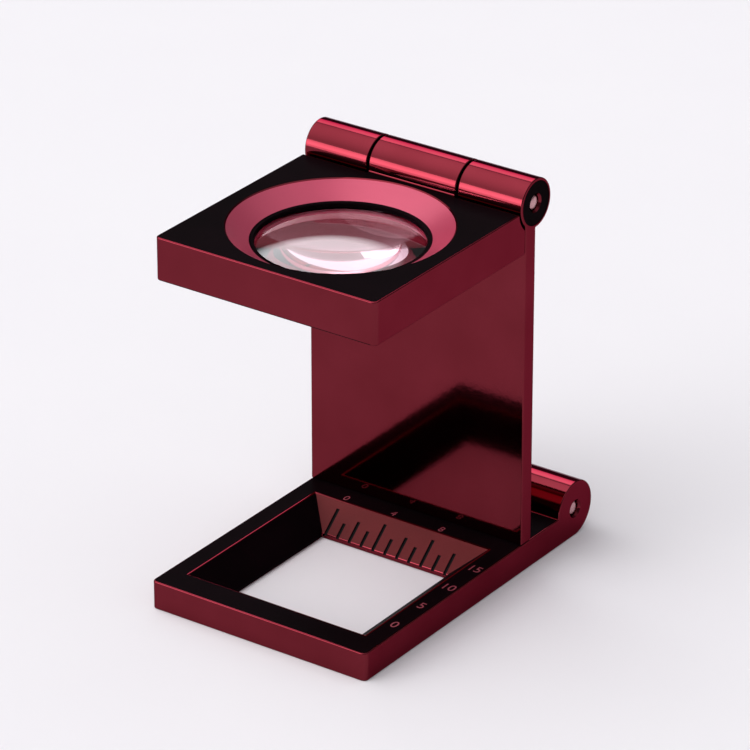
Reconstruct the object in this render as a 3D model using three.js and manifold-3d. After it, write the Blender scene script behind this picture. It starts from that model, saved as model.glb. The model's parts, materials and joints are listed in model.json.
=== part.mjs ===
// A folding magnifier for counting threads: a base frame with a bevelled counting window, an
// upright plate hinged to the base's rear, and a lens plate hinged to the upright's top.
// Millimetres, +Z up, X across the width, Y from the front edge to the rear hinge.
import * as THREE from 'three';
import { mergeVertices } from 'three/addons/utils/BufferGeometryUtils.js';
import Module from 'manifold-3d';

const wasm = await Module();
wasm.setup();

// Driving sizes of the base frame
const frameWidth = 28;
const rimHeight = 3.3;
const windowSide = 16.8;
const windowLip = 0.6;
const bevelRun = 3.2;
const frontLand = 3.4;
const deckAhead = 2.6;
const cornerRadius = 0.6;

// Driving sizes of the upright and the lens plate
const uprightThickness = 1.9;
const plateTop = 43;
const plateThickness = 4.9;
const plateSetback = 1.8;

// Driving sizes of the two hinges
const baseBarrelRadius = 3.3;
const topBarrelRadius = 2.8;
const middleKnuckle = 11.2;
const pinRadius = 0.8;
const pinInset = 0.2;
const pinChamfer = 0.2;

// Driving sizes of the lens and its seat
const lensRadius = 9.75;
const lensEdge = 1.2;
const lensCurve = 41.6;
const lipOverlap = 0.7;
const lipThickness = 0.5;
const ledgeWidth = 0.55;
const coneRun = 2.4;
const recessDepth = 1.6;
const bossWall = 1.75;
const skirtWall = 1.4;
const deckThickness = 1.8;
const ringWidth = 0.85;
const ringHeight = 1;
const ringSlotWidth = 1.2;
const ringSlotDepth = 0.5;

// Graduations: sixteenths of an inch on the rear bevel, millimetres on the right-hand one
const grooveDepth = 0.14;
const inchPitch = 1.5875;
const inchDivisions = 10;
const inchGrooveWidth = 0.4;
const quarterTick = 3.2;
const eighthTick = 2.5;
const sixteenthTick = 1.8;
const metricPitch = 1;
const metricDivisions = 16;
const metricGrooveWidth = 0.2;
const fiveTick = 2.1;
const oneTick = 1.2;

// Clearances, and one overrun for every cut
const foldGap = 0.3;
const stopGap = 0.2;
const knuckleGap = 0.3;
const pinClearance = 0.06;
const lensClearance = 0.12;
const overrun = 1;

// Facets of the round pieces, and how close vertices are welded
const barrelSides = 48;
const lensSides = 72;
const lensRings = 7;
const cornerSteps = 4;
const weldTolerance = 0.00001;

// Places worked out from the sizes above
const halfWidth = frameWidth / 2;
const windowFront = frontLand + bevelRun;
const windowRear = windowFront + windowSide;
const bevelRear = windowRear + bevelRun;
const uprightFront = bevelRear + deckAhead;
const uprightRear = uprightFront + uprightThickness;
const uprightFoot = rimHeight + stopGap;

// The upper axis lies in the plane of the upright's rear face and a fold gap above the lens plate,
// so the lens plate folds over until its top face lies a fold gap behind the upright.
const topAxisY = uprightRear;
const topAxisZ = plateTop + foldGap;

// The lower axis leaves room for the folded lens plate between the upright and the base's underside.
const baseAxisZ = baseBarrelRadius;
const baseAxisY = uprightRear + foldGap + plateThickness + foldGap + baseAxisZ;
const overallDepth = baseAxisY + baseBarrelRadius;

const plateBottom = plateTop - plateThickness;
const plateFront = plateSetback;
const plateRear = uprightFront - stopGap;
const lensCentreY = (plateFront + plateRear) / 2;
const knuckleHalf = middleKnuckle / 2;
const outerKnuckleStart = knuckleHalf + knuckleGap;
const boreRadius = pinRadius + pinClearance;
const seatRadius = lensRadius + lensClearance;
const lipRadius = lensRadius - lipOverlap;
const recessFloorRadius = lipRadius + ledgeWidth;
const recessRadius = recessFloorRadius + coneRun;
const bossRadius = seatRadius + bossWall;
const ringInnerRadius = lensRadius - ringWidth;
const windowCentreY = windowFront + windowSide / 2;

// Finishes
const finishes = {
  enamel: { color: 0x5a1c26, roughness: 0.5, metalness: 0.15 },
  glass: { color: 0xe8c8d2, roughness: 0.05, metalness: 0, transparent: true, opacity: 0.4 },
  steel: { color: 0xb58b8c, roughness: 0.35, metalness: 0.9 },
};

// Turns a three.js geometry into a solid that can be joined and cut.
function solid(geometry) {
  const bare = geometry.clone();
  bare.deleteAttribute('normal');
  bare.deleteAttribute('uv');
  const merged = mergeVertices(bare, weldTolerance);
  const vertProperties = new Float32Array(merged.attributes.position.array);
  const triVerts = new Uint32Array(merged.index.array);
  return new wasm.Manifold(new wasm.Mesh({ numProp: 3, vertProperties, triVerts }));
}

// Turns a finished solid into a named mesh with one of the finishes above.
function piece(name, body, finish) {
  const { vertProperties, triVerts } = body.getMesh();
  const geometry = new THREE.BufferGeometry();
  geometry.setAttribute('position', new THREE.BufferAttribute(vertProperties, 3));
  geometry.setIndex(new THREE.BufferAttribute(triVerts, 1));
  geometry.computeVertexNormals();
  const mesh = new THREE.Mesh(geometry, new THREE.MeshStandardMaterial(finishes[finish]));
  mesh.name = name;
  return mesh;
}

// A block between two corners.
function block(x0, x1, y0, y1, z0, z1) {
  const geometry = new THREE.BoxGeometry(x1 - x0, y1 - y0, z1 - z0);
  geometry.translate((x0 + x1) / 2, (y0 + y1) / 2, (z0 + z1) / 2);
  return solid(geometry);
}

// A cylinder along X, for knuckles, pin bores and the reliefs round them.
function barrel(radius, x0, x1, y, z) {
  const geometry = new THREE.CylinderGeometry(radius, radius, x1 - x0, barrelSides);
  geometry.rotateZ(Math.PI / 2);
  geometry.translate((x0 + x1) / 2, y, z);
  return solid(geometry);
}

// A flat slab with rounded upright edges, seen from above as a rectangle.
function slab(y0, y1, z0, z1) {
  const r = cornerRadius;
  const outline = new THREE.Shape();
  outline.moveTo(-halfWidth + r, y0);
  outline.lineTo(halfWidth - r, y0);
  outline.absarc(halfWidth - r, y0 + r, r, -Math.PI / 2, 0, false);
  outline.lineTo(halfWidth, y1);
  outline.lineTo(-halfWidth, y1);
  outline.lineTo(-halfWidth, y0 + r);
  outline.absarc(-halfWidth + r, y0 + r, r, Math.PI, 1.5 * Math.PI, false);
  const options = { depth: z1 - z0, bevelEnabled: false, curveSegments: cornerSteps };
  const geometry = new THREE.ExtrudeGeometry(outline, options);
  geometry.translate(0, 0, z0);
  return solid(geometry);
}

// A body of revolution about an upright axis through (0, y), from [radius, height] points.
function turned(points, y) {
  const profile = points.map(([radius, height]) => new THREE.Vector2(radius, height));
  const geometry = new THREE.LatheGeometry(profile, lensSides);
  geometry.rotateX(Math.PI / 2);
  geometry.translate(0, y, 0);
  return solid(geometry);
}

// The two mirrored outer knuckles that share an axis.
function outerKnuckles(radius, y, z) {
  const left = barrel(radius, -halfWidth, -outerKnuckleStart, y, z);
  const right = barrel(radius, outerKnuckleStart, halfWidth, y, z);
  return left.add(right);
}

// The pin's running bore through a hinge.
function pinBore(y, z) {
  return barrel(boreRadius, -halfWidth - overrun, halfWidth + overrun, y, z);
}

// The counting window: a square hole whose four sides slope down to a thin lip.
function windowCut() {
  const slopeHeight = rimHeight - windowLip;
  const slope = bevelRun / slopeHeight;
  const topHalf = windowSide / 2 + bevelRun + overrun * slope;
  const corner = Math.SQRT2;
  const height = slopeHeight + overrun;
  const funnel = new THREE.CylinderGeometry(topHalf * corner, (windowSide / 2) * corner, height, 4);
  funnel.rotateY(Math.PI / 4);
  funnel.rotateX(Math.PI / 2);
  funnel.translate(0, windowCentreY, windowLip + height / 2);
  const half = windowSide / 2;
  const hole = block(-half, half, windowFront, windowRear, -overrun, rimHeight);
  return solid(funnel).add(hole);
}

// Grooves that climb a bevel from the window's edge. The pattern gives their lengths in turn, and
// turn carries the rear bevel's row round the window to another side.
function grooves(pattern, divisions, pitch, width, turn) {
  const slopeAngle = Math.atan2(rimHeight - windowLip, bevelRun);
  const cuts = [];
  for (let i = 0; i <= divisions; i += 1) {
    const length = pattern[i % pattern.length];
    const along = (i - divisions / 2) * pitch;
    const groove = new THREE.BoxGeometry(width, length + overrun, 2 * grooveDepth);
    groove.translate(along, (length - overrun) / 2, 0);
    groove.rotateX(slopeAngle);
    groove.translate(0, windowSide / 2, windowLip);
    groove.rotateZ(turn);
    groove.translate(0, windowCentreY, 0);
    cuts.push(solid(groove));
  }
  return cuts;
}

// Both scales of the window.
function graduationCuts() {
  const inches = [quarterTick, sixteenthTick, eighthTick, sixteenthTick];
  const metric = [oneTick, fiveTick, oneTick, oneTick, oneTick];
  return [
    ...grooves(inches, inchDivisions, inchPitch, inchGrooveWidth, 0),
    ...grooves(metric, metricDivisions, metricPitch, metricGrooveWidth, -Math.PI / 2),
  ];
}

// The base: a slab with the window, two outer knuckles and a notch for the upright's knuckle.
function baseFrame() {
  let body = slab(0, baseAxisY, 0, rimHeight);
  body = body.subtract(windowCut());
  graduationCuts().forEach((groove) => {
    body = body.subtract(groove);
  });
  const notchStart = baseAxisY - baseBarrelRadius - foldGap;
  const notchEnd = overallDepth + overrun;
  body = body.subtract(
    block(-outerKnuckleStart, outerKnuckleStart, notchStart, notchEnd, -overrun, rimHeight + overrun),
  );
  body = body.add(outerKnuckles(baseBarrelRadius, baseAxisY, baseAxisZ));
  return body.subtract(pinBore(baseAxisY, baseAxisZ));
}

// The upright: a plate standing on the base's deck, its rearward arm and middle knuckle below,
// and two outer knuckles with a notch between them above.
function uprightPlate() {
  let body = block(-halfWidth, halfWidth, uprightFront, uprightRear, uprightFoot, topAxisZ);
  body = body.add(outerKnuckles(topBarrelRadius, topAxisY, topAxisZ));
  const notchFloor = topAxisZ - topBarrelRadius - foldGap;
  const notchTop = topAxisZ + topBarrelRadius + overrun;
  body = body.subtract(
    block(
      -outerKnuckleStart, outerKnuckleStart,
      uprightFront - overrun, topAxisY + topBarrelRadius + overrun,
      notchFloor, notchTop,
    ),
  );
  const armTop = baseAxisZ + baseBarrelRadius;
  body = body.add(block(-knuckleHalf, knuckleHalf, uprightFront, baseAxisY, uprightFoot, armTop));
  body = body.add(barrel(baseBarrelRadius, -knuckleHalf, knuckleHalf, baseAxisY, baseAxisZ));
  body = body.subtract(pinBore(topAxisY, topAxisZ));
  return body.subtract(pinBore(baseAxisY, baseAxisZ));
}

// The corner pockets under the lens plate, between its skirt and the round boss.
function underPockets() {
  const inner = halfWidth - skirtWall;
  const top = plateTop - deckThickness;
  const room = block(
    -inner, inner, plateFront + skirtWall, plateRear - skirtWall, plateBottom - overrun, top,
  );
  const boss = [
    [0, plateBottom - 2 * overrun],
    [bossRadius, plateBottom - 2 * overrun],
    [bossRadius, plateTop],
    [0, plateTop],
  ];
  return room.subtract(turned(boss, lensCentreY));
}

// The lens seat: a conical recess from above, a lip, and a bore from below.
function lensSeatCut() {
  const floor = plateTop - recessDepth;
  const lipBottom = floor - lipThickness;
  const slope = (recessRadius - recessFloorRadius) / recessDepth;
  return turned(
    [
      [0, plateBottom - overrun],
      [seatRadius, plateBottom - overrun],
      [seatRadius, lipBottom],
      [lipRadius, lipBottom],
      [lipRadius, floor],
      [recessFloorRadius, floor],
      [recessRadius + overrun * slope, plateTop + overrun],
      [0, plateTop + overrun],
    ],
    lensCentreY,
  );
}

// The lens plate: a shallow box with a deep skirt, the lens seat and the middle upper knuckle.
function lensCarrier() {
  let body = slab(plateFront, plateRear, plateBottom, plateTop);
  body = body.subtract(underPockets());
  const reliefRadius = topBarrelRadius + foldGap;
  body = body.subtract(barrel(reliefRadius, -halfWidth - overrun, -knuckleHalf, topAxisY, topAxisZ));
  body = body.subtract(barrel(reliefRadius, knuckleHalf, halfWidth + overrun, topAxisY, topAxisZ));
  const armBottom = topAxisZ - topBarrelRadius;
  body = body.add(
    block(-knuckleHalf, knuckleHalf, plateRear - skirtWall, topAxisY, armBottom, plateTop),
  );
  body = body.add(barrel(topBarrelRadius, -knuckleHalf, knuckleHalf, topAxisY, topAxisZ));
  body = body.subtract(pinBore(topAxisY, topAxisZ));
  return body.subtract(lensSeatCut());
}

// How far a face of the lens falls from its crown at a given radius.
function sag(radius) {
  return lensCurve - Math.sqrt(lensCurve * lensCurve - radius * radius);
}

// Heights of the lens's rim: its upper face bears on the lip's inner edge.
const lensRimTop = plateTop - recessDepth - lipThickness - lensClearance
  - (sag(lensRadius) - sag(lipRadius));
const lensRimBottom = lensRimTop - lensEdge;

// The lens: both faces are parts of spheres, with a straight ground rim between them.
function lens() {
  const upper = [];
  const lower = [];
  for (let i = 0; i <= lensRings; i += 1) {
    const radius = (lensRadius * i) / lensRings;
    upper.push([radius, lensRimTop + sag(lensRadius) - sag(radius)]);
    lower.push([radius, lensRimBottom - sag(lensRadius) + sag(radius)]);
  }
  return turned([...lower, ...upper.reverse()], lensCentreY);
}

// The threaded ring that holds the lens up against the lip, with two slots for a spanner.
function retainingRing() {
  const outer = lensRadius;
  const top = lensRimBottom - (sag(lensRadius) - sag(ringInnerRadius)) - lensClearance;
  const bottom = top - ringHeight;
  const ring = turned(
    [
      [ringInnerRadius, bottom],
      [outer, bottom],
      [outer, top],
      [ringInnerRadius, top],
      [ringInnerRadius, bottom],
    ],
    lensCentreY,
  );
  const slot = block(
    -outer - overrun, outer + overrun,
    lensCentreY - ringSlotWidth / 2, lensCentreY + ringSlotWidth / 2,
    bottom - overrun, bottom + ringSlotDepth,
  );
  return ring.subtract(slot);
}

// A hinge pin with chamfered ends, just short of the barrel's full width, centred on its own axis.
function hingePin(name) {
  const end = halfWidth - pinInset;
  const profile = [
    [0, -end],
    [pinRadius - pinChamfer, -end],
    [pinRadius, -end + pinChamfer],
    [pinRadius, end - pinChamfer],
    [pinRadius - pinChamfer, end],
    [0, end],
  ].map(([radius, along]) => new THREE.Vector2(radius, along));
  const geometry = new THREE.LatheGeometry(profile, barrelSides);
  geometry.rotateZ(Math.PI / 2);
  return piece(name, solid(geometry), 'steel');
}

const lowerPin = hingePin('lower_hinge_pin');
lowerPin.position.set(0, baseAxisY, baseAxisZ);
const upperPin = hingePin('upper_hinge_pin');
upperPin.position.set(0, topAxisY, topAxisZ);

const base = new THREE.Group();
base.add(piece('base_frame', baseFrame(), 'enamel'), lowerPin);

const upright = new THREE.Group();
upright.add(piece('upright_plate', uprightPlate(), 'enamel'), upperPin);

const lensHolder = new THREE.Group();
lensHolder.add(
  piece('lens_plate', lensCarrier(), 'enamel'),
  piece('lens', lens(), 'glass'),
  piece('lens_retaining_ring', retainingRing(), 'enamel'),
);

const magnifier = new THREE.Group();
magnifier.add(base, upright, lensHolder);
magnifier.position.y = -overallDepth / 2;

export default magnifier;
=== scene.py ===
import json
import math

import bmesh
import bpy
from mathutils import Matrix, Vector


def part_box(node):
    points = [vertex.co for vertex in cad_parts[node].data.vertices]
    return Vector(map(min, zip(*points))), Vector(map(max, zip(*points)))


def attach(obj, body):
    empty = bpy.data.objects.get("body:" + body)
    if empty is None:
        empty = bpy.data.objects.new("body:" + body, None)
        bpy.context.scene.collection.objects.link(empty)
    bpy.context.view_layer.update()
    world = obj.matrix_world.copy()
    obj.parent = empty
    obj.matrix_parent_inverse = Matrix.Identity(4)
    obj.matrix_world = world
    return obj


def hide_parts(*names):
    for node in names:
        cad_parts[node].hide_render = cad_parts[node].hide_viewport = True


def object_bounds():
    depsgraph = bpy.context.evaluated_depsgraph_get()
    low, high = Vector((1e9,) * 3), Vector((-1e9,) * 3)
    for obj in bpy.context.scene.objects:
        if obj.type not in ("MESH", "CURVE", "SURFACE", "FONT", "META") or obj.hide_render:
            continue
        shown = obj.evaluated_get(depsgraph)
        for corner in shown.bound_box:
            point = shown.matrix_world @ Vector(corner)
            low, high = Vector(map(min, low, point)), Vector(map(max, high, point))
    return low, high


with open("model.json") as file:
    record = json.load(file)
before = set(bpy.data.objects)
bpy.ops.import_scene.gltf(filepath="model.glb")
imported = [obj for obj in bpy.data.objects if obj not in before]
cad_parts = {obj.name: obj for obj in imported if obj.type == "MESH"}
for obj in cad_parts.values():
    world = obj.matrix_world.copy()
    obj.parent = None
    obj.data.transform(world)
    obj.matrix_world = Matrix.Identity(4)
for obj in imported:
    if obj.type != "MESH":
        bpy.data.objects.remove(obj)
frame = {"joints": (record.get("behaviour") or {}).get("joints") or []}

CAD_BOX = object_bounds()
MM = 0.001

# Places read from the frame
base_low, base_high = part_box("base_frame")
upright_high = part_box("upright_plate")[1]
plate_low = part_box("lens_plate")[0]
lens_low, lens_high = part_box("lens")
ring_low, ring_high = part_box("lens_retaining_ring")
axes = {joint["name"]: Vector(joint["pos_m"]) for joint in frame["joints"]}
base_axis = axes["base_fold"]
top_axis = axes["lens_fold"]
half_width = base_high.x
front = base_low.y

# Sizes of the base frame
RIM_HEIGHT = 3.3 * MM
WINDOW_SIDE = 16.8 * MM
WINDOW_LIP = 0.6 * MM
BEVEL_RUN = 3.2 * MM
FRONT_LAND = 3.4 * MM
DECK_AHEAD = 2.6 * MM
CORNER_RADIUS = 0.6 * MM

# Sizes of the hinges and the plates
MIDDLE_KNUCKLE = 11.2 * MM
KNUCKLE_GAP = 0.3 * MM
FOLD_GAP = 0.3 * MM
STOP_GAP = 0.06 * MM
UPRIGHT_THICKNESS = 1.9 * MM
PLATE_THICKNESS = 4.9 * MM
PLATE_TOP = top_axis.z - FOLD_GAP
PIN_RADIUS = 0.8 * MM
BORE_RADIUS = 0.86 * MM
BORE_CHAMFER = 0.22 * MM
PIN_DOME = 0.25 * MM
PIN_INSET = 0.2 * MM
END_DISC_RIM = 0.3 * MM
END_DISC_DEPTH = 0.06 * MM

# Sizes of the lens seat
LIP_RADIUS = 9.05 * MM
LIP_THICKNESS = 0.5 * MM
LEDGE_RADIUS = 9.6 * MM
RECESS_RADIUS = 12 * MM
RECESS_DEPTH = 1.6 * MM
RECESS_CHAMFER = 0.12 * MM
SEAT_RADIUS = 9.87 * MM
BOSS_RADIUS = 11.62 * MM
SKIRT_WALL = 1.4 * MM
DECK_THICKNESS = 1.8 * MM
LENS_CURVE = 41.6 * MM
LENS_EDGE_CHAMFER = 0.15 * MM
RING_WIDTH = 0.85 * MM
RING_SLOT_WIDTH = 1.2 * MM
RING_SLOT_DEPTH = 0.5 * MM

# Graduations: sixteenths of an inch at the rear, millimetres on the right
GROOVE_DEPTH = 0.14 * MM
INCH_PITCH = 1.5875 * MM
INCH_DIVISIONS = 10
INCH_GROOVE_WIDTH = 0.4 * MM
INCH_PATTERN = [3.2 * MM, 1.8 * MM, 2.5 * MM, 1.8 * MM]
METRIC_PITCH = 1 * MM
METRIC_DIVISIONS = 16
METRIC_GROOVE_WIDTH = 0.2 * MM
METRIC_PATTERN = [1.2 * MM, 2.1 * MM, 1.2 * MM, 1.2 * MM, 1.2 * MM]
METRIC_NUMBER_STEP = 5
METRIC_NUMBER_HEIGHT = 1.25 * MM
METRIC_NUMBER_INSET = 1.2 * MM
INCH_NUMBERS = 3
INCH_NUMBER_STEP = 4
INCH_NUMBER_HEIGHT = 1 * MM
INCH_NUMBER_INSET = 0.8 * MM
FONT_SIZE_PER_HEIGHT = 1.4
NUMBER_THICKNESS = 0.03 * MM
NUMBER_WELD = 0.001 * MM

# Rounding and fineness of the surfaces
EDGE_ROUND = 0.13 * MM
EDGE_STEPS = 3
CORNER_STEPS = 6
WELD = 0.002 * MM
OVERRUN = 1 * MM
CUT_PAST = 0.3 * MM
BARREL_SIDES = 96
TURNED_SIDES = 144
LENS_RINGS = 16
DOME_ANGLES = [math.radians(angle) for angle in range(0, 91, 15)]
FLAT_ANGLE = math.radians(0.4)
SHARP_ANGLE = math.radians(25)
SMOOTH_ANGLE = math.radians(38)

# How the normal of a face tells what the face is: the least share along an axis for a face that
# looks along it, and the limits for the bevels and the walls of the window
FACING = 0.97
BEVEL_LOW = 0.6
BEVEL_HIGH = 0.9
WALL_LOW = -0.1
FRONTWARD = -0.5

# Places of the finishes in the list of a piece; the black is partly painted shade, the rose is
# painted light
MAROON_AT, BLACK_AND_SHADE_AT, GROOVE_AT, SCALE_AT = range(4)
ROSE_LIGHT_AT = 2

# Grain of the finishes: waves per metre, the part of the noise that counts, and the relief
CLOUD_SCALE = 130
CLOUD_RANGE = (0.3, 0.7)
SPECK_SCALE = 5200
SPECK_RANGE = (0.45, 0.75)
SPECK_DEEPNESS = 0.35
PEEL_SCALE = 1500
PEEL_DETAIL = 1.5
PEEL_STRENGTH = 0.12
PEEL_DEPTH = 0.02 * MM
DRAWN_SCALE = (40, 9000, 9000)
DRAWN_GLOSS = (0.22, 0.42)
DRAWN_STRENGTH = 0.1
DRAWN_DEPTH = 0.01 * MM
HAZE_SCALE = 120
GLASS_IOR = 1.52
FLOOR_GRAIN_SCALE = 30
FINE_DETAIL = 2
FLOOR_DETAIL = 3

# Places worked out from the sizes above
window_front = front + FRONT_LAND + BEVEL_RUN
window_rear = window_front + WINDOW_SIDE
window_centre_y = window_front + WINDOW_SIDE / 2
upright_front = window_rear + BEVEL_RUN + DECK_AHEAD
upright_rear = upright_front + UPRIGHT_THICKNESS
lens_centre = (lens_low + lens_high) / 2
lens_radius = (lens_high.x - lens_low.x) / 2
base_radius = base_axis.z
top_radius = upright_high.z - top_axis.z
knuckle_half = MIDDLE_KNUCKLE / 2
outer_start = knuckle_half + KNUCKLE_GAP
plate_bottom = PLATE_TOP - PLATE_THICKNESS
slope_angle = math.atan2(RIM_HEIGHT - WINDOW_LIP, BEVEL_RUN)
notch_start = base_axis.y - base_radius - FOLD_GAP
recess_floor = PLATE_TOP - RECESS_DEPTH
plate_rear = upright_front - STOP_GAP


# Shader helpers and groups

def node(tree, kind, **settings):
    """Adds a shader node and sets its plain properties."""
    made = tree.nodes.new(kind)
    for name, value in settings.items():
        setattr(made, name, value)
    return made


def noise(tree, coords, scale, detail, roughness=0.55):
    """A noise texture over the given coordinates."""
    made = node(tree, "ShaderNodeTexNoise")
    made.inputs["Scale"].default_value = scale
    made.inputs["Detail"].default_value = detail
    made.inputs["Roughness"].default_value = roughness
    tree.links.new(coords, made.inputs["Vector"])
    return made.outputs["Fac"]


def remap(tree, value, from_min, from_max, to_min, to_max):
    """Maps a value from one range to another, held inside it."""
    made = node(tree, "ShaderNodeMapRange")
    for name, number in zip(
        ("From Min", "From Max", "To Min", "To Max"), (from_min, from_max, to_min, to_max)
    ):
        made.inputs[name].default_value = number
    tree.links.new(value, made.inputs["Value"])
    return made.outputs["Result"]


def mix_colours(tree, factor, first, second):
    """Mixes two colours, each a socket or a plain colour, by a factor socket."""
    made = node(tree, "ShaderNodeMix", data_type="RGBA")
    tree.links.new(factor, made.inputs[0])
    for socket, colour in ((made.inputs[6], first), (made.inputs[7], second)):
        if isinstance(colour, bpy.types.NodeSocket):
            tree.links.new(colour, socket)
        else:
            socket.default_value = (*colour, 1)
    return made.outputs[2]


def new_group(name, inputs, outputs):
    """A shader node group with named sockets, and its input and output nodes."""
    group = bpy.data.node_groups.new(name, "ShaderNodeTree")
    for socket, kind in inputs:
        group.interface.new_socket(socket, in_out="INPUT", socket_type=kind)
    for socket, kind in outputs:
        group.interface.new_socket(socket, in_out="OUTPUT", socket_type=kind)
    return group, group.nodes.new("NodeGroupInput"), group.nodes.new("NodeGroupOutput")


def lacquer_group():
    """Sprayed lacquer: clouded tone, fine orange peel in the height, and specks of uneven gloss."""
    group, given, result = new_group(
        "sprayed_lacquer",
        [
            ("Tone", "NodeSocketColor"),
            ("Deep Tone", "NodeSocketColor"),
            ("Gloss Low", "NodeSocketFloat"),
            ("Gloss High", "NodeSocketFloat"),
        ],
        [
            ("Colour", "NodeSocketColor"),
            ("Roughness", "NodeSocketFloat"),
            ("Height", "NodeSocketFloat"),
        ],
    )
    coords = node(group, "ShaderNodeTexCoord").outputs["Object"]
    clouds = noise(group, coords, CLOUD_SCALE, FINE_DETAIL)
    grain = noise(group, coords, SPECK_SCALE, FINE_DETAIL)
    peel = noise(group, coords, PEEL_SCALE, PEEL_DETAIL)
    tone = mix_colours(
        group,
        remap(group, clouds, *CLOUD_RANGE, 0, 1),
        given.outputs["Tone"],
        given.outputs["Deep Tone"],
    )
    specks = remap(group, grain, *SPECK_RANGE, 0, SPECK_DEEPNESS)
    speckled = mix_colours(group, specks, tone, given.outputs["Deep Tone"])
    group.links.new(speckled, result.inputs["Colour"])
    gloss = node(group, "ShaderNodeMapRange")
    group.links.new(grain, gloss.inputs["Value"])
    group.links.new(given.outputs["Gloss Low"], gloss.inputs["To Min"])
    group.links.new(given.outputs["Gloss High"], gloss.inputs["To Max"])
    group.links.new(gloss.outputs["Result"], result.inputs["Roughness"])
    group.links.new(peel, result.inputs["Height"])
    return group


def brushed_group():
    """Drawn metal: fine lines along X that change colour, roughness and height a little."""
    group, given, result = new_group(
        "drawn_metal",
        [("Tone", "NodeSocketColor"), ("Dark Tone", "NodeSocketColor")],
        [
            ("Colour", "NodeSocketColor"),
            ("Roughness", "NodeSocketFloat"),
            ("Height", "NodeSocketFloat"),
        ],
    )
    coords = node(group, "ShaderNodeTexCoord").outputs["Object"]
    stretch = node(group, "ShaderNodeMapping")
    stretch.inputs["Scale"].default_value = DRAWN_SCALE
    group.links.new(coords, stretch.inputs["Vector"])
    lines = noise(group, stretch.outputs["Vector"], 1, FINE_DETAIL)
    colour = mix_colours(group, lines, given.outputs["Tone"], given.outputs["Dark Tone"])
    group.links.new(colour, result.inputs["Colour"])
    group.links.new(remap(group, lines, 0, 1, *DRAWN_GLOSS), result.inputs["Roughness"])
    group.links.new(lines, result.inputs["Height"])
    return group


LACQUER = lacquer_group()
DRAWN_METAL = brushed_group()


def new_material(name):
    """A node material, its tree and its principled shader."""
    material = bpy.data.materials.new(name)
    material.use_nodes = True
    tree = material.node_tree
    return material, tree, tree.nodes["Principled BSDF"]


def bump_from(tree, height, shader, strength, distance):
    """Feeds a height into the shader's normal."""
    bump = node(tree, "ShaderNodeBump")
    bump.inputs["Strength"].default_value = strength
    bump.inputs["Distance"].default_value = distance
    tree.links.new(height, bump.inputs["Height"])
    tree.links.new(bump.outputs["Normal"], shader.inputs["Normal"])


def lacquer(name, tone, deep_tone, gloss, metallic=0, specular=0.5, edge=(1, 1, 1)):
    """A sprayed finish in two close tones; gloss is the range of its roughness."""
    material, tree, shader = new_material(name)
    group = node(tree, "ShaderNodeGroup", node_tree=LACQUER)
    group.inputs["Tone"].default_value = (*tone, 1)
    group.inputs["Deep Tone"].default_value = (*deep_tone, 1)
    group.inputs["Gloss Low"].default_value = gloss[0]
    group.inputs["Gloss High"].default_value = gloss[1]
    tree.links.new(group.outputs["Colour"], shader.inputs["Base Color"])
    tree.links.new(group.outputs["Roughness"], shader.inputs["Roughness"])
    shader.inputs["Metallic"].default_value = metallic
    shader.inputs["Specular IOR Level"].default_value = specular
    shader.inputs["Specular Tint"].default_value = (*edge, 1)
    bump_from(tree, group.outputs["Height"], shader, PEEL_STRENGTH, PEEL_DEPTH)
    return material


def drawn_metal(name, tone, dark_tone):
    """Bare drawn wire."""
    material, tree, shader = new_material(name)
    group = node(tree, "ShaderNodeGroup", node_tree=DRAWN_METAL)
    group.inputs["Tone"].default_value = (*tone, 1)
    group.inputs["Dark Tone"].default_value = (*dark_tone, 1)
    tree.links.new(group.outputs["Colour"], shader.inputs["Base Color"])
    tree.links.new(group.outputs["Roughness"], shader.inputs["Roughness"])
    shader.inputs["Metallic"].default_value = 1
    bump_from(tree, group.outputs["Height"], shader, DRAWN_STRENGTH, DRAWN_DEPTH)
    return material


def lens_glass():
    """Polished crown glass with a faint and slightly uneven pink tint."""
    material, tree, shader = new_material("lens_glass")
    coords = node(tree, "ShaderNodeTexCoord").outputs["Object"]
    haze = noise(tree, coords, HAZE_SCALE, FINE_DETAIL)
    colour = mix_colours(tree, haze, (0.99, 0.66, 0.77), (0.97, 0.62, 0.73))
    tree.links.new(colour, shader.inputs["Base Color"])
    shader.inputs["Roughness"].default_value = 0
    shader.inputs["Transmission Weight"].default_value = 1
    shader.inputs["IOR"].default_value = GLASS_IOR
    return material


MAROON = lacquer(
    "maroon_enamel", (0.165, 0.019, 0.029), (0.142, 0.0155, 0.0235),
    gloss=(0.05, 0.11), metallic=1, edge=(0.5, 0.42, 0.45),
)
# A lit copy of the maroon: its bright rose is painted light, for the glow of the lit recess wall,
# the lens seat and the ring seen through the lens
ROSE_PAINTED_LIGHT = lacquer(
    "rose_enamel_painted_light", (0.51, 0.056, 0.114), (0.46, 0.049, 0.1), gloss=(0.26, 0.36), metallic=0.3
)
# Black paint that is partly painted shade: it goes on faces turned up, on window bevels turned away,
# on the lip round the lens and inside the skirt, where those faces look dark from reflection and
# shadow; also on the shallow end discs of the upper knuckles
BLACK_PAINT_AND_SHADE = lacquer(
    "black_enamel_and_painted_shade", (0.005, 0.002, 0.003), (0.003, 0.0015, 0.002), gloss=(0.38, 0.5), specular=0.003
)
SCALE = lacquer(
    "scale_enamel", (0.13, 0.014, 0.016), (0.10, 0.011, 0.012),
    gloss=(0.45, 0.6), metallic=0.1, specular=0.12,
)
GROOVE = lacquer(
    "groove_black", (0.004, 0.003, 0.004), (0.002, 0.002, 0.002), gloss=(0.6, 0.75), specular=0.1
)
MARKS = lacquer("mark_paint", (0.30, 0.055, 0.075), (0.20, 0.03, 0.045), gloss=(0.4, 0.55))
PIN_STEEL = drawn_metal("pin_steel", (0.62, 0.36, 0.38), (0.4, 0.2, 0.22))
GLASS = lens_glass()


# Mesh helpers

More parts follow.
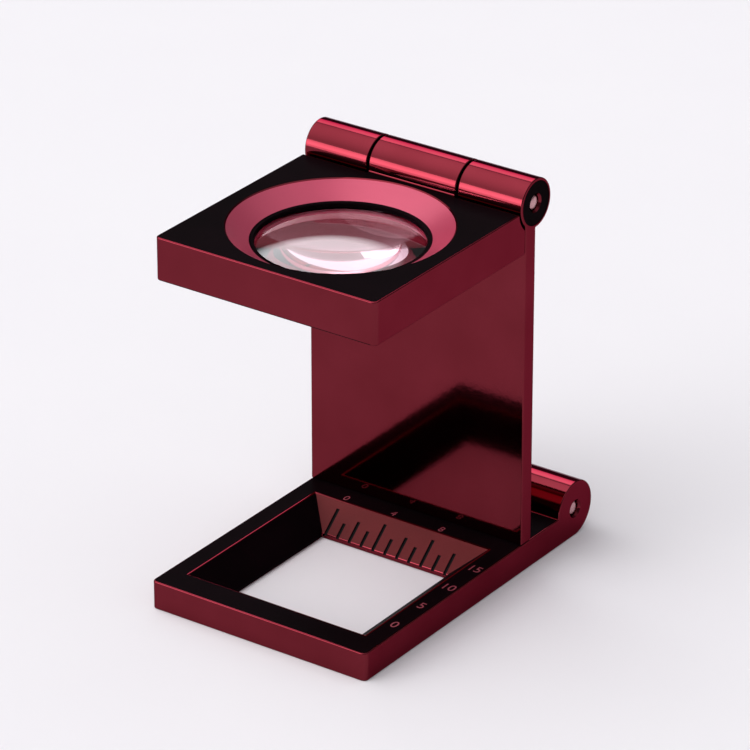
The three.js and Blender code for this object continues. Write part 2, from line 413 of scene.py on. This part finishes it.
def as_piece(bm, name, *materials):
    """Turns a bmesh into an object at the origin."""
    mesh = bpy.data.meshes.new(name)
    bm.to_mesh(mesh)
    bm.free()
    for material in materials:
        mesh.materials.append(material)
    piece = bpy.data.objects.new(name, mesh)
    bpy.context.scene.collection.objects.link(piece)
    return piece


def block(x0, x1, y0, y1, z0, z1):
    """A bmesh box between two corners."""
    bm = bmesh.new()
    bmesh.ops.create_cube(bm, size=1)
    bmesh.ops.scale(bm, verts=bm.verts, vec=(x1 - x0, y1 - y0, z1 - z0))
    centre = ((x0 + x1) / 2, (y0 + y1) / 2, (z0 + z1) / 2)
    bmesh.ops.translate(bm, verts=bm.verts, vec=centre)
    return bm


def barrel(radius, x0, x1, axis):
    """A bmesh cylinder along X about an axis point."""
    bm = bmesh.new()
    bmesh.ops.create_cone(
        bm, cap_ends=True, segments=BARREL_SIDES, radius1=radius, radius2=radius, depth=x1 - x0
    )
    bmesh.ops.rotate(bm, verts=bm.verts, matrix=Matrix.Rotation(math.pi / 2, 3, "Y"))
    bmesh.ops.translate(bm, verts=bm.verts, vec=((x0 + x1) / 2, axis.y, axis.z))
    return bm


def arc(axis, radius, start, end):
    """Points (y, z) of an arc about an axis point, both ends included."""
    steps = round(abs(end - start) / (2 * math.pi / BARREL_SIDES))
    angles = [start + (end - start) * i / steps for i in range(steps + 1)]
    return [
        (axis.y + radius * math.cos(angle), axis.z + radius * math.sin(angle)) for angle in angles
    ]


def prism(outline, x0, x1):
    """A bmesh with one outline of (y, z) points all the way from x0 to x1."""
    bm = bmesh.new()
    face = bm.faces.new([bm.verts.new((x0, y, z)) for y, z in outline])
    grown = bmesh.ops.extrude_face_region(bm, geom=[face], use_keep_orig=True)["geom"]
    far = [part for part in grown if isinstance(part, bmesh.types.BMVert)]
    bmesh.ops.translate(bm, verts=far, vec=(x1 - x0, 0, 0))
    bmesh.ops.recalc_face_normals(bm, faces=bm.faces)
    return bm


def turned(points, closed=False):
    """A bmesh body of revolution about Z from (radius, height) points."""
    bm = bmesh.new()
    verts = [bm.verts.new((radius, 0, height)) for radius, height in points]
    edges = [bm.edges.new(pair) for pair in zip(verts, verts[1:])]
    if closed:
        edges.append(bm.edges.new((verts[-1], verts[0])))
    bmesh.ops.spin(
        bm, geom=verts + edges, cent=(0, 0, 0), axis=(0, 0, 1), angle=2 * math.pi,
        steps=TURNED_SIDES, use_merge=True,
    )
    bmesh.ops.remove_doubles(bm, verts=bm.verts, dist=WELD)
    bmesh.ops.recalc_face_normals(bm, faces=bm.faces)
    return bm


def merged(*parts):
    """Several bmeshes that don't touch, as one."""
    joined = bmesh.new()
    for part in parts:
        mesh = bpy.data.meshes.new("part")
        part.to_mesh(mesh)
        part.free()
        joined.from_mesh(mesh)
        bpy.data.meshes.remove(mesh)
    return joined


def combine(piece, operation, *tools):
    """Joins the tools to a piece, or cuts it with them, and removes them."""
    for number, tool in enumerate(tools):
        if isinstance(tool, bmesh.types.BMesh):
            tool = as_piece(tool, f"tool_{number}", *piece.data.materials)
        change = piece.modifiers.new("combine", "BOOLEAN")
        change.operation = operation
        change.solver = "EXACT"
        change.object = tool
        shaped = piece.evaluated_get(bpy.context.evaluated_depsgraph_get())
        old = piece.data
        new = bpy.data.meshes.new_from_object(shaped)
        piece.modifiers.clear()
        piece.data = new
        bpy.data.meshes.remove(old)
        bpy.data.objects.remove(tool)
    return piece


def round_edges(piece):
    """Rounds a piece's sharp edges, and fillets its inner corners."""
    bm = bmesh.new()
    bm.from_mesh(piece.data)
    bmesh.ops.remove_doubles(bm, verts=bm.verts, dist=WELD)
    bmesh.ops.dissolve_limit(bm, angle_limit=FLAT_ANGLE, verts=bm.verts, edges=bm.edges)
    sharp = [edge for edge in bm.edges if edge.calc_face_angle() > SHARP_ANGLE]
    bmesh.ops.bevel(
        bm, geom=sharp, offset=EDGE_ROUND, offset_type="OFFSET", affect="EDGES",
        segments=EDGE_STEPS, profile=0.5, clamp_overlap=True, material=-1,
    )
    bm.to_mesh(piece.data)
    bm.free()
    return piece


def finish_piece(piece, body, slot, *nodes):
    """Smooths a piece over its rounded edges, rides it on its body and lets it stand for nodes."""
    mesh = piece.data
    mesh.shade_smooth()
    mesh.set_sharp_from_angle(angle=SMOOTH_ANGLE)
    weighted = piece.modifiers.new("flat_faces_stay_flat", "WEIGHTED_NORMAL")
    weighted.keep_sharp = True
    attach(piece, body)
    if nodes:
        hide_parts(*nodes)
    return piece


def paint(piece, chooser):
    """Gives each face the place that the chooser picks from its centre, normal and old place."""
    for face in piece.data.polygons:
        face.material_index = chooser(face.center, face.normal, face.material_index)


def slab(y0, y1, z0, z1):
    """A bmesh box of the full width with rounded front corners."""
    bm = block(-half_width, half_width, y0, y1, z0, z1)
    corners = [
        edge for edge in bm.edges
        if all(abs(vert.co.y - y0) < WELD for vert in edge.verts)
        and abs(edge.verts[0].co.z - edge.verts[1].co.z) > WELD
    ]
    bmesh.ops.bevel(
        bm, geom=corners, offset=CORNER_RADIUS, offset_type="OFFSET", affect="EDGES",
        segments=CORNER_STEPS, profile=0.5, material=-1,
    )
    return bm


def outer_knuckles(radius, axis):
    """The two outer knuckles of a hinge, as bmeshes."""
    return (
        barrel(radius, -half_width, -outer_start, axis),
        barrel(radius, outer_start, half_width, axis),
    )


def pin_bore(axis, reach):
    """A cutter for a pin's bore, countersunk where it leaves the piece at both ends."""
    wide = BORE_RADIUS + BORE_CHAMFER + CUT_PAST
    points = [
        (0, -reach - CUT_PAST),
        (wide, -reach - CUT_PAST),
        (BORE_RADIUS, -reach + BORE_CHAMFER),
        (BORE_RADIUS, reach - BORE_CHAMFER),
        (wide, reach + CUT_PAST),
        (0, reach + CUT_PAST),
    ]
    bm = turned(points)
    bmesh.ops.rotate(bm, verts=bm.verts, matrix=Matrix.Rotation(math.pi / 2, 3, "Y"))
    bmesh.ops.translate(bm, verts=bm.verts, vec=(0, axis.y, axis.z))
    return bm


# The base frame

def window_funnel():
    """The bevelled cut of the counting window, as a bmesh."""
    slope = BEVEL_RUN / (RIM_HEIGHT - WINDOW_LIP)
    half = WINDOW_SIDE / 2
    bm = block(-half, half, -half, half, WINDOW_LIP, RIM_HEIGHT + OVERRUN)
    upper = [vert for vert in bm.verts if vert.co.z > RIM_HEIGHT]
    wide = (half + BEVEL_RUN + OVERRUN * slope) / half
    bmesh.ops.scale(bm, verts=upper, vec=(wide, wide, 1))
    bmesh.ops.translate(bm, verts=bm.verts, vec=(0, window_centre_y, 0))
    return bm


def grooves(pattern, divisions, pitch, width, turn):
    """One scale's grooves, up a bevel from the window's edge; turn carries them to another side."""
    row = []
    for i in range(divisions + 1):
        length = pattern[i % len(pattern)]
        along = (i - divisions / 2) * pitch
        bm = block(
            along - width / 2, along + width / 2, -OVERRUN / 2, length, -GROOVE_DEPTH, GROOVE_DEPTH
        )
        bmesh.ops.rotate(bm, verts=bm.verts, matrix=Matrix.Rotation(slope_angle, 3, "X"))
        bmesh.ops.translate(bm, verts=bm.verts, vec=(0, WINDOW_SIDE / 2, WINDOW_LIP))
        bmesh.ops.rotate(bm, verts=bm.verts, matrix=Matrix.Rotation(turn, 3, "Z"))
        bmesh.ops.translate(bm, verts=bm.verts, vec=(0, window_centre_y, 0))
        row.append(bm)
    return merged(*row)


def paint_base(centre, normal, index):
    """Black on the lands, the deck and three bevels, part black paint and part painted shade; duller
    red on the rear bevel, else maroon.
    """
    if index == GROOVE_AT:
        return GROOVE_AT
    behind_window = centre.y > window_rear and normal.y < FRONTWARD
    if behind_window and BEVEL_LOW < normal.z < BEVEL_HIGH and centre.z < RIM_HEIGHT - WELD:
        return SCALE_AT
    if centre.y > notch_start:
        return MAROON_AT
    # Painted shade: faces turned up on the rim and the deck are black, standing for their dark
    # reflection
    if normal.z > FACING and centre.z > RIM_HEIGHT - WELD:
        return BLACK_AND_SHADE_AT
    in_window = (
        abs(centre.x) < WINDOW_SIDE / 2 + BEVEL_RUN
        and window_front - BEVEL_RUN < centre.y < window_rear + BEVEL_RUN
    )
    # Painted shade: the front and side bevels of the window, turned away from the front, are black
    if in_window and WALL_LOW < normal.z < BEVEL_HIGH and normal.y > FRONTWARD:
        return BLACK_AND_SHADE_AT
    return MAROON_AT


def make_base():
    """The base frame with its window, its ears and its two scales."""
    finishes = [MAROON, BLACK_PAINT_AND_SHADE, GROOVE, SCALE]
    piece = as_piece(slab(front, base_axis.y, 0, RIM_HEIGHT), "base_frame_shell", *finishes)
    half = WINDOW_SIDE / 2
    hole = block(-half, half, window_front, window_rear, -OVERRUN, RIM_HEIGHT)
    notch = block(
        -outer_start, outer_start, notch_start, base_axis.y + OVERRUN, -OVERRUN, RIM_HEIGHT + OVERRUN
    )
    combine(piece, "DIFFERENCE", window_funnel(), hole, notch)
    combine(piece, "UNION", *outer_knuckles(base_radius, base_axis))
    round_edges(piece)
    combine(piece, "DIFFERENCE", pin_bore(base_axis, half_width))
    for row in (
        grooves(INCH_PATTERN, INCH_DIVISIONS, INCH_PITCH, INCH_GROOVE_WIDTH, 0),
        grooves(METRIC_PATTERN, METRIC_DIVISIONS, METRIC_PITCH, METRIC_GROOVE_WIDTH, -math.pi / 2),
    ):
        tool = as_piece(row, "groove_row", *finishes)
        for face in tool.data.polygons:
            face.material_index = GROOVE_AT
        combine(piece, "DIFFERENCE", tool)
    paint(piece, paint_base)
    return finish_piece(piece, "base", "enamel", "base_frame")


def number_on_land(text, x, y, height):
    """A small painted number on the rim, as a mesh that stands a hair proud."""
    curve = bpy.data.curves.new(f"number_{text}", "FONT")
    curve.body = text
    curve.size = height * FONT_SIZE_PER_HEIGHT
    curve.align_x = "CENTER"
    curve.align_y = "CENTER"
    curve.extrude = NUMBER_THICKNESS / 2
    typed = bpy.data.objects.new("number_curve", curve)
    bpy.context.scene.collection.objects.link(typed)
    graph = bpy.context.evaluated_depsgraph_get()
    mesh = bpy.data.meshes.new_from_object(typed.evaluated_get(graph))
    bpy.data.objects.remove(typed)
    mesh.transform(Matrix.Translation((x, y, RIM_HEIGHT)))
    mesh.materials.clear()
    mesh.materials.append(MARKS)
    return mesh


def make_numbers():
    """The numbers of both scales, as one piece, without faces that have no area."""
    right = half_width - METRIC_NUMBER_INSET
    rear = window_rear + BEVEL_RUN + INCH_NUMBER_INSET
    joined = bmesh.new()
    for count in range(0, METRIC_DIVISIONS, METRIC_NUMBER_STEP):
        y = window_centre_y - METRIC_DIVISIONS * METRIC_PITCH / 2 + count * METRIC_PITCH
        joined.from_mesh(number_on_land(str(count), right, y, METRIC_NUMBER_HEIGHT))
    for count in range(0, INCH_NUMBERS * INCH_NUMBER_STEP, INCH_NUMBER_STEP):
        x = (count - INCH_DIVISIONS / 2) * INCH_PITCH
        joined.from_mesh(number_on_land(str(count), x, rear, INCH_NUMBER_HEIGHT))
    bmesh.ops.remove_doubles(joined, verts=joined.verts, dist=NUMBER_WELD)
    flat = [face for face in joined.faces if face.calc_area() < NUMBER_WELD * NUMBER_WELD]
    long_sides = [max(face.edges, key=bmesh.types.BMEdge.calc_length) for face in flat]
    bmesh.ops.dissolve_edges(joined, edges=long_sides, use_verts=False)
    piece = as_piece(joined, "scale_numbers", MARKS)
    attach(piece, "base")
    return piece


# The upright

def paint_upright(centre, normal, index):
    """Black on the shallow discs in the upper knuckles' ends, maroon elsewhere."""
    on_disc = abs(abs(centre.x) - (half_width - END_DISC_DEPTH)) < WELD
    upper_end = on_disc and abs(normal.x) > FACING and centre.z > upright_high.z / 2
    return BLACK_AND_SHADE_AT if upper_end else MAROON_AT


def make_upright():
    """The standing plate with its lower arm and knuckle and its two upper knuckles."""
    foot = RIM_HEIGHT + STOP_GAP
    front_meet = math.acos((top_axis.y - upright_front) / top_radius)
    knuckle = arc(top_axis, top_radius, -math.pi / 2, math.pi + front_meet)
    outline = [(upright_front, foot), (upright_rear, foot)] + knuckle
    piece = as_piece(prism(outline, -half_width, half_width), "upright_shell", MAROON, BLACK_PAINT_AND_SHADE)
    notch = block(
        -outer_start, outer_start, upright_front - OVERRUN, upright_high.y + OVERRUN,
        top_axis.z - top_radius - FOLD_GAP, upright_high.z + OVERRUN,
    )
    combine(piece, "DIFFERENCE", notch)
    arm_start = upright_rear - UPRIGHT_THICKNESS / 2
    foot_meet = math.asin((foot - base_axis.z) / base_radius)
    knuckle = arc(base_axis, base_radius, math.pi - foot_meet, 2.5 * math.pi)
    outline = [(arm_start, base_axis.z + base_radius), (arm_start, foot)] + knuckle
    combine(piece, "UNION", prism(outline, -knuckle_half, knuckle_half))
    round_edges(piece)
    disc_radius = top_radius - END_DISC_RIM
    disc_start = half_width - END_DISC_DEPTH
    combine(
        piece, "DIFFERENCE",
        barrel(disc_radius, -half_width - OVERRUN, -disc_start, top_axis),
        barrel(disc_radius, disc_start, half_width + OVERRUN, top_axis),
        pin_bore(top_axis, disc_start),
        pin_bore(base_axis, knuckle_half),
    )
    paint(piece, paint_upright)
    return finish_piece(piece, "upright", "enamel", "upright_plate")


# The lens plate, the lens and its ring

def seat_cutter():
    """The recess, the lip and the seat of the lens, as a cutter."""
    lip_bottom = recess_floor - LIP_THICKNESS
    points = [
        (0, plate_bottom - CUT_PAST),
        (SEAT_RADIUS + RECESS_CHAMFER + CUT_PAST, plate_bottom - CUT_PAST),
        (SEAT_RADIUS, plate_bottom + RECESS_CHAMFER),
        (SEAT_RADIUS, lip_bottom),
        (LIP_RADIUS, lip_bottom),
        (LIP_RADIUS, recess_floor - RECESS_CHAMFER),
        (LIP_RADIUS + RECESS_CHAMFER, recess_floor),
        (LEDGE_RADIUS, recess_floor),
        (RECESS_RADIUS, PLATE_TOP - RECESS_CHAMFER),
        (RECESS_RADIUS + RECESS_CHAMFER + CUT_PAST, PLATE_TOP + CUT_PAST),
        (0, PLATE_TOP + CUT_PAST),
    ]
    bm = turned(points)
    bmesh.ops.translate(bm, verts=bm.verts, vec=(0, lens_centre.y, 0))
    return bm


def under_pockets():
    """The corner pockets under the lens plate, as a cutter with the boss already cut out of it."""
    inner = half_width - SKIRT_WALL
    room = as_piece(
        block(
            -inner, inner, plate_low.y + SKIRT_WALL, plate_rear - SKIRT_WALL,
            plate_bottom - OVERRUN, PLATE_TOP - DECK_THICKNESS,
        ),
        "pockets", MAROON, BLACK_PAINT_AND_SHADE,
    )
    points = [
        (0, plate_bottom - 2 * OVERRUN),
        (BOSS_RADIUS, plate_bottom - 2 * OVERRUN),
        (BOSS_RADIUS, PLATE_TOP),
        (0, PLATE_TOP),
    ]
    boss = turned(points)
    bmesh.ops.translate(boss, verts=boss.verts, vec=(0, lens_centre.y, 0))
    return combine(room, "DIFFERENCE", boss)


def paint_plate(centre, normal, index):
    """Black on the deck, round the lens and inside the skirt, part black paint and part painted
    shade; rose in the recess and the seat, painted light; else maroon.
    """
    reach = math.hypot(centre.x, centre.y - lens_centre.y)
    if centre.y > plate_rear or centre.z < plate_bottom + WELD:
        return MAROON_AT
    # Painted shade: the deck, turned up, is black for its dark reflection
    if normal.z > FACING and centre.z > recess_floor - WELD:
        return BLACK_AND_SHADE_AT
    # Painted light: the recess wall is a lit rose copy of the maroon
    if reach < RECESS_RADIUS and centre.z > recess_floor:
        return ROSE_LIGHT_AT
    # Painted shadow: the lip round the lens is black; painted light: the seat below it is rose
    if reach < LEDGE_RADIUS:
        return BLACK_AND_SHADE_AT if centre.z > recess_floor - LIP_THICKNESS + WELD else ROSE_LIGHT_AT
    inside = abs(centre.x) < half_width - SKIRT_WALL + WELD and plate_low.y + WELD < centre.y
    # Painted shade: the inside of the skirt, under the plate, is black
    if inside and centre.z < PLATE_TOP - DECK_THICKNESS + WELD:
        return BLACK_AND_SHADE_AT
    return MAROON_AT


def make_lens_plate():
    """The lens carrier with its skirt, its recess and the middle upper knuckle."""
    shell = slab(plate_low.y, plate_rear, plate_bottom, PLATE_TOP)
    piece = as_piece(shell, "lens_plate_shell", MAROON, BLACK_PAINT_AND_SHADE, ROSE_PAINTED_LIGHT)
    relief = top_radius + FOLD_GAP
    rear_meet = math.acos((top_axis.y - plate_rear) / relief)
    top_meet = math.asin((top_axis.z - PLATE_TOP) / relief)
    hollow = arc(top_axis, relief, math.pi + rear_meet, math.pi + top_meet)
    outline = hollow + [
        (hollow[-1][0], PLATE_TOP + OVERRUN),
        (plate_rear + OVERRUN, PLATE_TOP + OVERRUN),
        (plate_rear + OVERRUN, hollow[0][1]),
    ]
    combine(
        piece, "DIFFERENCE",
        prism(outline, -half_width - OVERRUN, -knuckle_half),
        prism(outline, knuckle_half, half_width + OVERRUN),
    )
    arm_start = plate_rear - SKIRT_WALL
    front_meet = math.asin((top_axis.z - PLATE_TOP) / top_radius)
    knuckle = arc(top_axis, top_radius, -math.pi / 2, math.pi + front_meet)
    outline = [(arm_start, PLATE_TOP), (arm_start, top_axis.z - top_radius)] + knuckle
    combine(piece, "UNION", prism(outline, -knuckle_half, knuckle_half))
    round_edges(piece)
    combine(piece, "DIFFERENCE", under_pockets(), seat_cutter(), pin_bore(top_axis, knuckle_half))
    paint(piece, paint_plate)
    return finish_piece(piece, "lens_holder", "enamel", "lens_plate")


def sag(radius):
    """How far a face of the lens falls from its crown at a radius."""
    return LENS_CURVE - math.sqrt(LENS_CURVE * LENS_CURVE - radius * radius)


def make_lens():
    """The biconvex lens, with its edges just broken."""
    edge = lens_radius - LENS_EDGE_CHAMFER
    steps = [edge * i / LENS_RINGS for i in range(LENS_RINGS + 1)]
    lower = [(radius, lens_low.z + sag(radius)) for radius in steps]
    upper = [(radius, lens_high.z - sag(radius)) for radius in steps]
    rim = [
        (lens_radius, lower[-1][1] + LENS_EDGE_CHAMFER),
        (lens_radius, upper[-1][1] - LENS_EDGE_CHAMFER),
    ]
    bm = turned(lower + rim + upper[::-1])
    bmesh.ops.translate(bm, verts=bm.verts, vec=(0, lens_centre.y, 0))
    blank = as_piece(bm, "lens_blank", GLASS)
    return finish_piece(blank, "lens_holder", "lens_glass", "lens")


def make_ring():
    """The ring that holds the lens in from below, with two slots for a spanner."""
    outer = lens_radius
    inner = outer - RING_WIDTH
    cut = RECESS_CHAMFER
    bm = turned(
        [
            (inner, ring_low.z + cut), (inner + cut, ring_low.z), (outer - cut, ring_low.z),
            (outer, ring_low.z + cut), (outer, ring_high.z - cut), (outer - cut, ring_high.z),
            (inner + cut, ring_high.z), (inner, ring_high.z - cut),
        ],
        closed=True,
    )
    bmesh.ops.translate(bm, verts=bm.verts, vec=(0, lens_centre.y, 0))
    # The ring is maroon lacquer, painted here in the rose lit copy: painted light that shows through
    # the lens
    piece = as_piece(bm, "retaining_ring", ROSE_PAINTED_LIGHT)
    slot = block(
        -outer - OVERRUN, outer + OVERRUN,
        lens_centre.y - RING_SLOT_WIDTH / 2, lens_centre.y + RING_SLOT_WIDTH / 2,
        ring_low.z - OVERRUN, ring_low.z + RING_SLOT_DEPTH,
    )
    combine(piece, "DIFFERENCE", slot)
    return finish_piece(piece, "lens_holder", "enamel", "lens_retaining_ring")


# The pins

def make_pin(name, axis, body, replaced):
    """A wire pin with a shallow dome on each end."""
    end = half_width - PIN_INSET
    dome = [
        (PIN_RADIUS * math.cos(angle), end - PIN_DOME + PIN_DOME * math.sin(angle))
        for angle in DOME_ANGLES
    ]
    dome[-1] = (0, end)
    bm = turned([(radius, -along) for radius, along in dome[::-1]] + dome)
    bmesh.ops.rotate(bm, verts=bm.verts, matrix=Matrix.Rotation(math.pi / 2, 3, "Y"))
    bmesh.ops.translate(bm, verts=bm.verts, vec=(0, axis.y, axis.z))
    return finish_piece(as_piece(bm, name, PIN_STEEL), body, "pin_steel", replaced)


# The studio

# Turns go from the front to the right, and distances are from the middle of the magnifier
CAMERA_TURN = math.radians(35.2)
CAMERA_RISE = math.radians(26.2)
CAMERA_DISTANCE = 523 * MM
CAMERA_LENS = 235
CAMERA_SENSOR = 36
CAMERA_NEAREST = 10 * MM
DAYLIGHT_TURN = math.radians(-55)
DAYLIGHT_RISE = math.radians(46)
DAYLIGHT_STRENGTH = 1.92
DAYLIGHT_SPREAD = math.radians(90)
LAMP_TURN = math.radians(-33)
LAMP_RISE = math.radians(9)
LAMP_DISTANCE = 1200 * MM
LAMP_WIDTH = 1200 * MM
LAMP_HEIGHT = 600 * MM
LAMP_POWER = 1.3
LAMP_SPREAD = math.radians(60)
FLOOR_DROP = 0.02 * MM
FLOOR_REACH = 3000 * MM
FLOOR_TINTS = (0.86, 0.835, 0.86), (0.885, 0.865, 0.88)
FLOOR_ROUGHNESS = 0.9

# The surround: its colour, its strength as light and as seen, and how gloss sees it: by height,
# with one soft round skylight
SURROUND_TINT = (0.93, 0.93, 0.97)
SURROUND_LIGHT = 0.6
SURROUND_SEEN = 0.97
SURROUND_LOW = 0.15
SURROUND_OVERHEAD = 1.15
LOW_SKY = 0.5
HIGH_SKY = 0.9
SKYLIGHT_TURN = math.radians(-139.6)
SKYLIGHT_RISE = math.radians(37.7)
SKYLIGHT_EDGE = math.radians(14)
SKYLIGHT_CORE = math.radians(10)
SKYLIGHT_STRENGTH = 5


def direction(turn, rise):
    """The unit vector from the object towards a place at this turn from the front and this rise."""
    return Vector(
        (math.sin(turn) * math.cos(rise), -math.cos(turn) * math.cos(rise), math.sin(rise))
    )


def aim(thing, place, target):
    """Puts a camera or a lamp at a place, looking at the target."""
    thing.location = place
    thing.rotation_euler = (target - place).to_track_quat("-Z", "Y").to_euler()


def make_camera(target):
    """The camera, at the photograph's angle to the magnifier."""
    data = bpy.data.cameras.new("camera")
    data.lens = CAMERA_LENS
    data.sensor_width = CAMERA_SENSOR
    data.clip_start = CAMERA_NEAREST
    camera = bpy.data.objects.new("camera", data)
    bpy.context.scene.collection.objects.link(camera)
    aim(camera, target + direction(CAMERA_TURN, CAMERA_RISE) * CAMERA_DISTANCE, target)
    bpy.context.scene.camera = camera


def make_lamp(target):
    """A broad soft lamp low in front, which shows as a bright band in the barrels."""
    data = bpy.data.lights.new("low_strip", "AREA")
    data.shape = "RECTANGLE"
    data.size = LAMP_WIDTH
    data.size_y = LAMP_HEIGHT
    data.energy = LAMP_POWER
    data.spread = LAMP_SPREAD
    lamp = bpy.data.objects.new("low_strip", data)
    bpy.context.scene.collection.objects.link(lamp)
    aim(lamp, target + direction(LAMP_TURN, LAMP_RISE) * LAMP_DISTANCE, target)


def make_floor():
    """A wide, flat and pale floor."""
    material, tree, shader = new_material("pale_floor")
    coords = node(tree, "ShaderNodeTexCoord").outputs["Object"]
    grain = noise(tree, coords, FLOOR_GRAIN_SCALE, FLOOR_DETAIL)
    tint = mix_colours(tree, grain, *FLOOR_TINTS)
    tree.links.new(tint, shader.inputs["Base Color"])
    shader.inputs["Roughness"].default_value = FLOOR_ROUGHNESS
    bm = bmesh.new()
    bmesh.ops.create_grid(bm, x_segments=1, y_segments=1, size=FLOOR_REACH)
    bmesh.ops.translate(bm, verts=bm.verts, vec=(0, 0, -FLOOR_DROP))
    floor = as_piece(bm, "floor", material)


def either(tree, flag, otherwise, value):
    """Takes one value where a flag is set and another elsewhere; each is a socket or a number."""
    made = node(tree, "ShaderNodeMix", data_type="FLOAT")
    tree.links.new(flag, made.inputs[0])
    for socket, given in ((made.inputs[2], otherwise), (made.inputs[3], value)):
        if isinstance(given, bpy.types.NodeSocket):
            tree.links.new(given, socket)
        else:
            socket.default_value = given
    return made.outputs[0]


def make_world():
    """An even pale surround, in which gloss sees a brighter top and one soft skylight."""
    world = bpy.data.worlds.new("surround")
    world.use_nodes = True
    bpy.context.scene.world = world
    tree = world.node_tree
    shade = tree.nodes["Background"]
    shade.inputs["Color"].default_value = (*SURROUND_TINT, 1)
    rays = node(tree, "ShaderNodeLightPath").outputs
    seen = node(tree, "ShaderNodeTexCoord").outputs["Generated"]
    apart = node(tree, "ShaderNodeSeparateXYZ")
    tree.links.new(seen, apart.inputs[0])
    height = apart.outputs["Z"]
    overhead = remap(tree, height, LOW_SKY, HIGH_SKY, SURROUND_LOW, SURROUND_OVERHEAD)
    toward = node(tree, "ShaderNodeVectorMath", operation="DOT_PRODUCT")
    toward.inputs[1].default_value = direction(SKYLIGHT_TURN, SKYLIGHT_RISE)
    tree.links.new(seen, toward.inputs[0])
    edge, core = math.cos(SKYLIGHT_EDGE), math.cos(SKYLIGHT_CORE)
    skylight = remap(tree, toward.outputs["Value"], edge, core, 0, SKYLIGHT_STRENGTH)
    both = node(tree, "ShaderNodeMath", operation="ADD")
    tree.links.new(overhead, both.inputs[0])
    tree.links.new(skylight, both.inputs[1])
    strength = either(tree, rays["Is Glossy Ray"], SURROUND_LIGHT, both.outputs[0])
    strength = either(tree, rays["Is Transmission Ray"], strength, SURROUND_SEEN)
    strength = either(tree, rays["Is Camera Ray"], strength, SURROUND_SEEN)
    tree.links.new(strength, shade.inputs["Strength"])


def make_daylight():
    """A very wide, soft sun."""
    data = bpy.data.lights.new("daylight", "SUN")
    data.energy = DAYLIGHT_STRENGTH
    data.angle = DAYLIGHT_SPREAD
    lamp = bpy.data.objects.new("daylight", data)
    bpy.context.scene.collection.objects.link(lamp)
    aim(lamp, direction(DAYLIGHT_TURN, DAYLIGHT_RISE), Vector())


def make_studio():
    """Camera, lamps, floor and surround."""
    centre = (CAD_BOX[0] + CAD_BOX[1]) / 2
    make_camera(centre)
    make_daylight()
    make_lamp(centre)
    make_floor()
    make_world()
    bpy.context.scene.view_settings.view_transform = "Standard"


make_base()
make_numbers()
make_upright()
make_lens_plate()
make_lens()
make_ring()
make_pin("lower_pin", base_axis, "base", "lower_hinge_pin")
make_pin("upper_pin", top_axis, "upright", "upper_hinge_pin")
make_studio()
